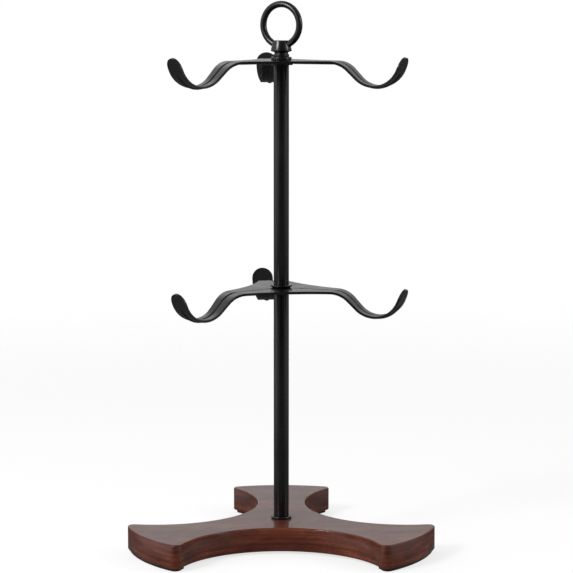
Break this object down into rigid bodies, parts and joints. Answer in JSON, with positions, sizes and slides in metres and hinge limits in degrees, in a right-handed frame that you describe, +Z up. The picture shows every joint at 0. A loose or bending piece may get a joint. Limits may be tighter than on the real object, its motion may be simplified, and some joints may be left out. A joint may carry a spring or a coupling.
{
  "type": "mug tree",
  "caption": "Mug tree with a three-legged wooden base, a black steel post and two tiers of hooked arms that turn, topped by a finial with a finger ring.",
  "frame": {"origin": "on the surface that the feet stand on, under the post's axis", "axes": "+Z up along the post, +Y over the back leg, +X to the right seen from the front"},
  "size_m": [0.2412, 0.2155, 0.43],
  "materials": {
    "lacquered_wood": "dark red-brown stain under gloss lacquer",
    "black_coat": "satin black powder coat on steel",
    "zinc_steel": "bright zinc plate",
    "foot_rubber": "matt black non-slip rubber"
  },
  "bodies": {
    "stand": {"base_board": "lacquered_wood", "foot_pad_back": "foot_rubber", "foot_pad_left": "foot_rubber", "foot_pad_right": "foot_rubber", "base_bolt": "zinc_steel", "base_washer": "zinc_steel", "base_collar": "black_coat", "lower_tube": "black_coat", "lower_tube_foot_plug": "zinc_steel", "lower_tube_top_plug": "black_coat", "lower_tier_flange": "black_coat", "joining_stud": "zinc_steel", "upper_tube": "black_coat", "upper_tube_foot_plug": "zinc_steel", "upper_tube_top_plug": "zinc_steel", "upper_tier_washer": "black_coat", "upper_tier_flange": "black_coat", "finial": "black_coat", "finial_ring": "black_coat"},
    "lower_arms": {"lower_tier": "black_coat"},
    "upper_arms": {"upper_tier": "black_coat"}
  },
  "joints": [
    {"name": "lower_tier_turn", "type": "hinge", "parent": "stand", "child": "lower_arms", "pos_m": [0, 0, 0.2051], "axis": [0, 0, 1], "continuous": true},
    {"name": "upper_tier_turn", "type": "hinge", "parent": "stand", "child": "upper_arms", "pos_m": [0, 0, 0.3831], "axis": [0, 0, 1], "continuous": true}
  ]
}
